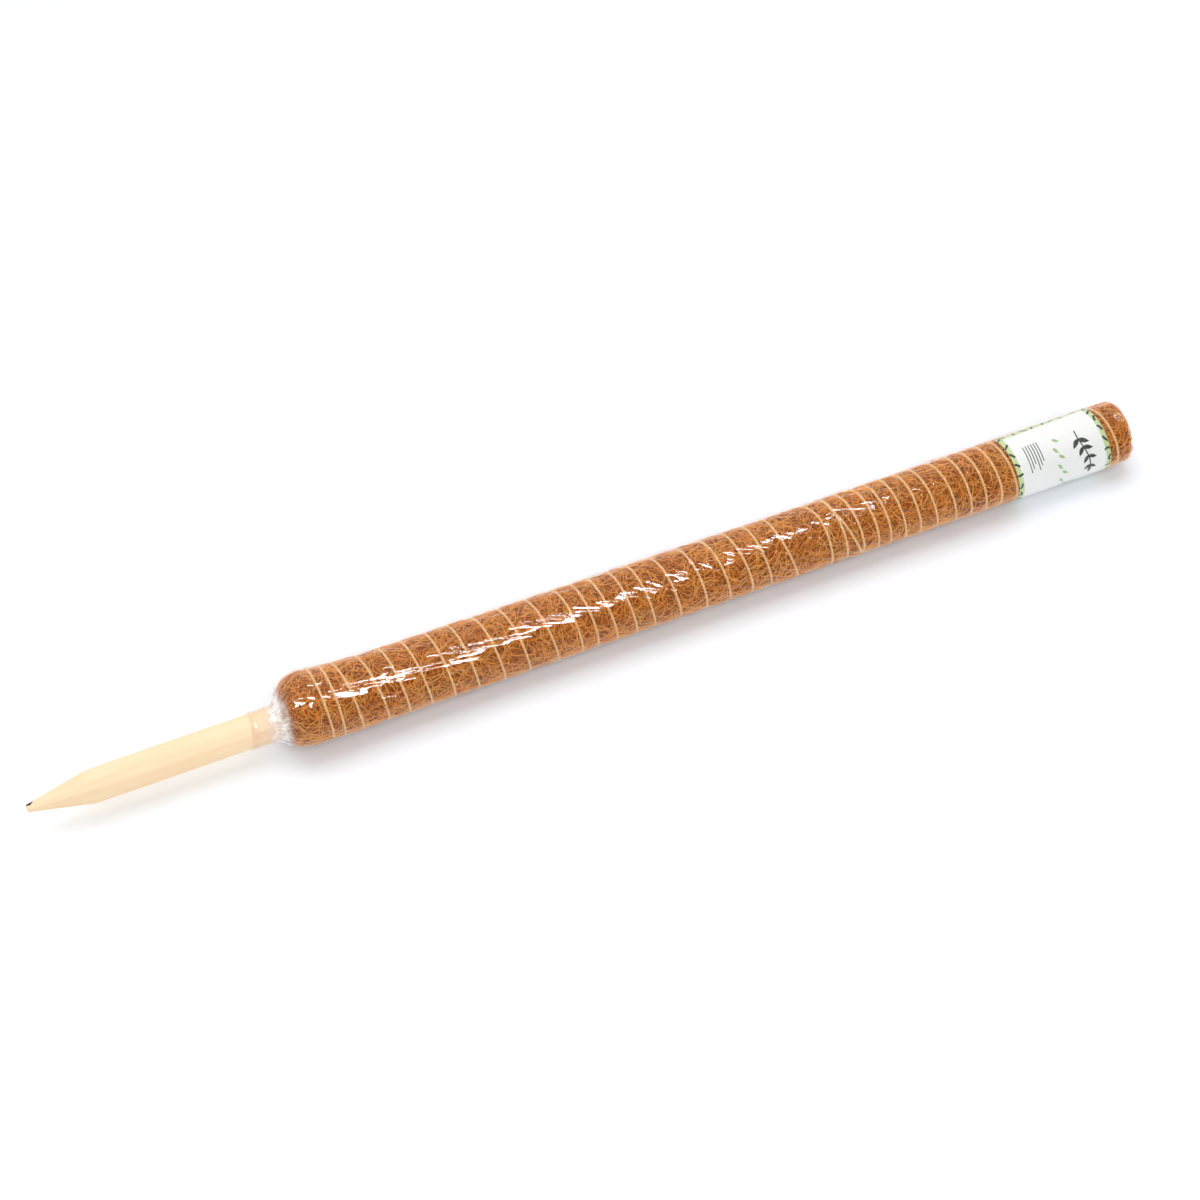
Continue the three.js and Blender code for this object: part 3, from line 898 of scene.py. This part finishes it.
def makeLabel():
    makePaper()
    darkInk = newMaterial("inkDark", inkShader, label["darkGreen"])
    leafInk = newMaterial("inkLeaf", inkShader, label["leafGreen"])
    ruleInk = newMaterial("inkRule", inkShader, label["ruleGrey"])
    printInk("labelBorderMarks", borderMarks(np.random.default_rng(label["seed"])), darkInk)
    printInk("labelSprig", sprig(**label["sprig"]), darkInk)
    printInk("labelLeafRow", leafRow(**label["leafRow"]), leafInk)
    printInk("labelRules", plainRules(**label["rules"]), ruleInk)


makeLabel()


# Film: clear shrink wrap, gathered on the stake and wrinkled along the pole

film = {
    "seed": 31,
    "offset": 0.95,
    "sides": 380,
    "spacing": 3.8,
    "neckRun": 48.0,   # from the cut edge to the coir's shoulder, with closer rows
    "neckSpacing": 0.8,
    "cutSlant": 2.6,
    "cutReach": 18.0,
    "cutAngle": 50.0,
    "neckRadius": 13.55,
    "neckCorners": [(-12, 0.2), (-6.4, 0.7), (-3, 3.3)],   # from the coir's bottom, and over neckRadius
    "shoulderFrom": 25,   # degrees up the coir's shoulder
    "topOpening": 16.3,
    "gatherGap": 0.18,   # of the second layer under the sleeve
    "dip": 0.35,
    "dipWidth": 4.2,
    "creaseLayers": [(104, 26, 0.4), (64, 34, 0.15)],   # creases round and along, and their height
    "creaseRise": 0.3,
    "creaseLeast": 0.3,   # part of their height that creases keep off the body
    "foldShift": 0.35,   # how unevenly the folds are spaced
    "creaseAlong": (200, 400, 490, 620, 720, 900),   # places of the next two rows of values
    "creaseSlant": (0.08, 0.2, 0.45, 0.45, 0.2, 0.1),
    "creaseGrowth": (1.0, 1.1, 1.3, 1.3, 1.0, 0.6),
    "crumple": 0.8,
    # hills: height, and how many lie round and along
    "crumples": (0.5, 38, 300),
    "swells": (0.1, 26, 60),
    "gatherSway": (2.6, 9, 50),
    "gatherHills": (0.2, 34, 150),
    "pleatSway": (2.4, 11, 60),
    "pleatHills": (0.4, 40, 160),
    # rises from 0 to 1: start from an edge of the coir, label or film, and run
    "bodyFrom": (8, 12),
    "bodyTo": (-4, 8),
    "labelFrom": (-8, 8),
    "labelTo": (-2, 8),
    "sleeveTo": (-10, 10),
    "rimFrom": (-24, 14),
    "lowest": -0.5,
    "highest": 1.0,
    "gathers": 13,
    "gatherHeight": 0.28,
    "gatherShare": 0.7,   # of the even folds, beside the hills
    "gatherPlace": -1.0,   # from the coir's bottom
    "gatherReach": 7.0,
    "sleeveShare": 0.3,   # of the folds that goes on along the stake
    "rimPleats": 17,
    "pleatHeight": 0.5,
    "pleatShare": 0.6,
    "underside": 26.2,
    "around": 167.0,   # way round the body, for the size of the wrinkles
    "mirror": 0.026,
    "edgePower": 4.0,
    "gloss": 0.06,
    "wrinkleDepth": 0.0001,
    "wrinkleSize": (1.8, 9),
    "wrinkleTurn": -18,
    "rampRun": 50,   # distance from the cut edge that the ramps of the materials cover
    "milk": linear(253, 250, 248),
    "tint": linear(226, 184, 158),
    "paleTint": linear(242, 216, 200),
}


def filmProfile():
    bottom, neck = pole["coirBottom"], film["neckRadius"]
    corners = [(pole["filmStart"], neck)]
    corners += [(bottom + along, neck + outward) for along, outward in film["neckCorners"]]
    corners += wrapProfile(film["offset"], film["shoulderFrom"])
    return corners + [(pole["filmTop"] - 0.2, film["topOpening"])]


def slantedTurn():   # how far the creases have wound round the pole, at each row of the film
    slant = np.interp(filmLine["along"], film["creaseAlong"], film["creaseSlant"])
    turned = np.cumsum(slant * np.gradient(filmLine["run"])) / (pole["coirRadius"] + film["offset"])
    return turned[:, None] - turned[0]


def creases(rng, u, v):   # narrow flat facets with sharp folds between them, which the shrinking left
    growth = np.interp(filmLine["along"], film["creaseAlong"], film["creaseGrowth"])[:, None]
    uneven = film["foldShift"]
    total = film["creaseRise"] + 0 * u
    for around, lengthwise, height in film["creaseLayers"]:
        heights = rng.uniform(-height, height, (around, lengthwise + 2))
        folds = (np.arange(around) + rng.uniform(-uneven, uneven, around)) / around
        folds = np.concatenate([folds[-1:] - 1, folds, folds[:2] + 1])
        column, row = np.interp(u, folds, np.arange(-1, around + 2)), v * lengthwise
        i, j = np.floor(column).astype(int) % around, np.floor(row).astype(int)
        total = total + growth * blended(heights, i, j, column % 1, eased(row - j))
    return total


def filmSpread(tree):   # places on the unrolled film in millimetres, and how far up from its cut edge
    spread = vectorCalc(tree, "MULTIPLY", uvPlaces(tree), (film["around"], filmLine["run"][-1], 0))
    up = node(tree, "SeparateXYZ", {"Vector": spread}).outputs["Y"]
    return spread, calc(tree, "DIVIDE", up, film["rampRun"])


def filmShader(tree):
    spread, up = filmSpread(tree)
    height = noiseAt(tree, slantedPlaces(tree, spread, film["wrinkleSize"], film["wrinkleTurn"]), detail=1)
    bump = bumped(tree, height, 1.0, film["wrinkleDepth"])
    edgeOn = node(tree, "LayerWeight", {"Blend": 0.5, "Normal": bump}).outputs["Facing"]
    grazing = calc(tree, "POWER", edgeOn, film["edgePower"])
    onBody = ramp(tree, up, [(0.5, 0.25), (0.9, 1)])
    grazing = calc(tree, "MULTIPLY", calc(tree, "MULTIPLY", grazing, onBody), 1 - film["mirror"])
    shine = calc(tree, "ADD", grazing, film["mirror"], True)
    inputs = {"Base Color": (1, 1, 1, 1), "Metallic": 1.0, "Roughness": film["gloss"], "Normal": bump}
    return seeThrough(tree, shine, inputs)


def gatherShader(tree):   # film doubled up where it is drawn in at the coir's shoulder, which looks white
    spread, up = filmSpread(tree)
    thin = ramp(tree, up, [(0.0, 0.25), (0.2, 0.25), (0.38, 0.6), (0.54, 0.6), (0.7, 0)])
    thick = ramp(tree, up, [(0.2, 0), (0.44, 0.9), (0.54, 0.7), (0.68, 0.1), (0.84, 0)])
    clumps = stretchedNoise(tree, spread, (0.09, 0.17, 1), detail=1.5)
    inClump = ramp(tree, clumps, [(0.42, 0), (0.66, 1)])
    streaks = stretchedNoise(tree, spread, (0.5, 0.08, 1), detail=2)
    uneven = ramp(tree, streaks, [(0.34, 0.5), (0.62, 1)])
    cover = calc(tree, "ADD", thin, calc(tree, "MULTIPLY", thick, inClump), True)
    cover = calc(tree, "MULTIPLY", cover, uneven)
    colour = ramp(tree, up, [(0.0, film["tint"]), (0.24, film["paleTint"]), (0.4, film["milk"])])
    inputs = {"Base Color": colour, "Roughness": 0.5, "Specular IOR Level": 0.15}
    return seeThrough(tree, cover, inputs)


def rising(place, edge, offset, run):   # from 0 at an offset from an edge to 1 after a run
    return np.clip((place - (edge + offset)) / run, 0, 1)


def neckLift(rng, u, v, along, angle):   # folds where the film is drawn in on the stake
    folds = film["gatherShare"] * np.sin(film["gathers"] * angle + patches(rng, u, v, *film["gatherSway"]))
    bottom = pole["coirBottom"]
    atNeck = np.exp(-((along - bottom - film["gatherPlace"]) / film["gatherReach"]) ** 2)
    atNeck = atNeck + film["sleeveShare"] * (1 - rising(along, bottom, *film["sleeveTo"]))
    return film["gatherHeight"] * atNeck * (folds + patches(rng, u, v, *film["gatherHills"]))


def rimLift(rng, u, v, run, angle):   # small pleats where the film turns over the top rim
    pleats = film["pleatShare"] * np.sin(film["rimPleats"] * angle + patches(rng, u, v, *film["pleatSway"]))
    pleats = pleats + patches(rng, u, v, *film["pleatHills"])
    return film["pleatHeight"] * rising(run, run.max(), *film["rimFrom"]) * pleats


def filmLift(rng, run, column, angle):   # height of the film's wrinkles over its smooth profile
    along, least = filmLine["along"][:, None], film["creaseLeast"]
    u, v = np.broadcast_arrays(column / film["sides"], run / run.max())
    fromBody = rising(along, pole["coirBottom"], *film["bodyFrom"])
    onBody = fromBody * (1 - rising(along, pole["coirTop"], *film["bodyTo"]))
    atLabel = rising(along, pole["labelStart"], *film["labelFrom"])
    atLabel = atLabel * (1 - rising(along, pole["labelEnd"], *film["labelTo"]))
    lift = -film["dip"] * drawnIn(along, angle, film["dipWidth"]) * onBody * (1 - atLabel)
    swells = patches(rng, u, v, *film["swells"])
    lift += swells + creases(rng, u, v) * (least + (1 - least) * onBody)
    lift += film["crumple"] * (0.5 + patches(rng, u, v, *film["crumples"])) * (1 - fromBody)
    lift += neckLift(rng, u, v, along, angle) + rimLift(rng, u, v, run, angle)
    return np.clip(lift, film["lowest"], film["highest"])


def makeFilm():
    run, column = filmLine["run"][:, None], np.arange(film["sides"])[None, :]
    angle = column * fullTurn / film["sides"] + slantedTurn()
    along, radius = onCoir(filmLine, run, filmLift(np.random.default_rng(film["seed"]), run, column, angle))
    fromCut = np.maximum(1 - run / film["cutReach"], 0)
    along = along + film["cutSlant"] * np.cos(angle - math.radians(film["cutAngle"])) * fromCut
    radius = np.maximum(radius, film["neckRadius"] - 0.25)
    points = onWrap(along, radius, angle)
    points[..., 2] = np.maximum(points[..., 2], (pole["axisHeight"] - film["underside"]) / 1000)
    faces, uv = gridFaces(len(run), film["sides"], True, filmLine["run"] / filmLine["run"][-1])
    clear, milky = newMaterial("shrinkFilm", filmShader), newMaterial("gatheredFilm", gatherShader)
    addPiece("filmSleeve", points.reshape(-1, 3), [faces], uv, clear, "film_sleeve", "shrink_film")
    rows = np.count_nonzero(filmLine["run"] < film["neckRun"])
    inner = onWrap(along[:rows], radius[:rows] - film["gatherGap"], angle[:rows]).reshape(-1, 3)
    shown = (rows - 1) * film["sides"]
    addPiece("filmGathers", inner, [faces[:shown]], uv[:4 * shown], milky, slot="shrink_film")


filmLine = evenProfile(filmProfile(), film["spacing"], film["neckRun"], film["neckSpacing"])
makeFilm()


# Studio: a white floor under soft light, with a softbox near the camera for the film's highlights
# and a strip beyond each end of the pole that gives them in other views

studio = {
    "roomBlend": 0.35,   # part of the room over which one brightness passes into the other
    "roomNear": 0.22,   # brightness of the room behind the camera
    "roomFar": 1.05,   # and of the white backdrop behind the pole
    "lights": {
        "overhead": {"place": (0.0, 0.6, 2.3), "size": (1.6, 1.6), "power": 16, "roll": 0},
        "frontFill": {"place": (-0.1, -1.75, 1.8), "size": (2.6, 2.0), "power": 39, "roll": 0},
    },
    "reflections": {   # lights that only the film's gloss shows
        "softbox": {"place": (0.3, -1.05, 2.05), "size": (1.2, 0.3), "power": 67, "roll": 23},
        "pointEndStrip": {"place": (-1.5, -0.1, 2.0), "size": (0.35, 1.9), "power": 120, "roll": 0},
        "topEndStrip": {"place": (2.4, 0.1, 2.1), "size": (0.35, 1.6), "power": 45, "roll": 0},
    },
    "floorRadius": 9.0,
    "floorSides": 96,
    "floorWhite": linear(246, 250, 255),
    "floorFade": (0.9, 1.9),   # where the floor passes into the backdrop
    "cameraPlace": (-0.5400, -1.2551, 1.8864),
    "cameraDown": 53.51,
    "cameraTurn": 23.30,
    "lens": 90.0,
    "sensor": 36,
}


def areaLight(name, place, size, power, roll, mirrored):
    light = bpy.data.lights.new(name, "AREA")
    light.shape = "RECTANGLE"
    light.size, light.size_y = size
    light.energy = power
    lamp = bpy.data.objects.new(name, light)
    lamp.location = place
    lamp.rotation_euler = lamp.location.to_track_quat("Z", "Y").to_euler()
    lamp.rotation_euler.rotate_axis("Z", math.radians(roll))
    lamp.visible_camera = False
    lamp.visible_diffuse = not mirrored
    lamp.visible_glossy = mirrored
    scene.collection.objects.link(lamp)


def floorShader(tree):
    away = vectorCalc(tree, "LENGTH", node(tree, "TexCoord").outputs["Object"], output="Value")
    shown = smoothStep(tree, away, *studio["floorFade"], 1.0, 0.0)
    inputs = {"Base Color": studio["floorWhite"], "Roughness": 0.7, "Specular IOR Level": 0.2}
    return seeThrough(tree, shown, inputs)


def makeFloor():
    sides, radius = studio["floorSides"], studio["floorRadius"]
    bpy.ops.mesh.primitive_circle_add(vertices=sides, radius=radius, fill_type="NGON")
    floor = bpy.context.object
    floor.name = "studioFloor"
    floor.data.materials.append(newMaterial("studioFloor", floorShader))


def makeRoom():
    world = bpy.data.worlds.new("studioRoom")
    world.use_nodes = True
    tree = world.node_tree
    tree.nodes.clear()
    direction = node(tree, "SeparateXYZ", {"Vector": node(tree, "TexCoord").outputs["Generated"]})
    blend, near, far = studio["roomBlend"], studio["roomNear"], studio["roomFar"]
    strength = smoothStep(tree, direction.outputs["Y"], -blend, blend, near, far)
    strength = calc(tree, "MAXIMUM", strength, node(tree, "LightPath").outputs["Is Camera Ray"])
    room = node(tree, "Background", {"Color": (1, 1, 1, 1), "Strength": strength})
    node(tree, "OutputWorld", {"Surface": room.outputs[0]})
    scene.world = world


def makeStudio():
    makeFloor()
    makeRoom()
    for kind in ("lights", "reflections"):
        for name, values in studio[kind].items():
            areaLight(name, mirrored=(kind == "reflections"), **values)
    camera = bpy.data.cameras.new("photoCamera")
    camera.lens, camera.sensor_width = studio["lens"], studio["sensor"]
    seen = bpy.data.objects.new("photoCamera", camera)
    seen.location = studio["cameraPlace"]
    seen.rotation_euler = [math.radians(a) for a in (90 - studio["cameraDown"], 0, -studio["cameraTurn"])]
    scene.collection.objects.link(seen)
    scene.camera = seen
    scene.view_settings.view_transform = "Standard"


makeStudio()
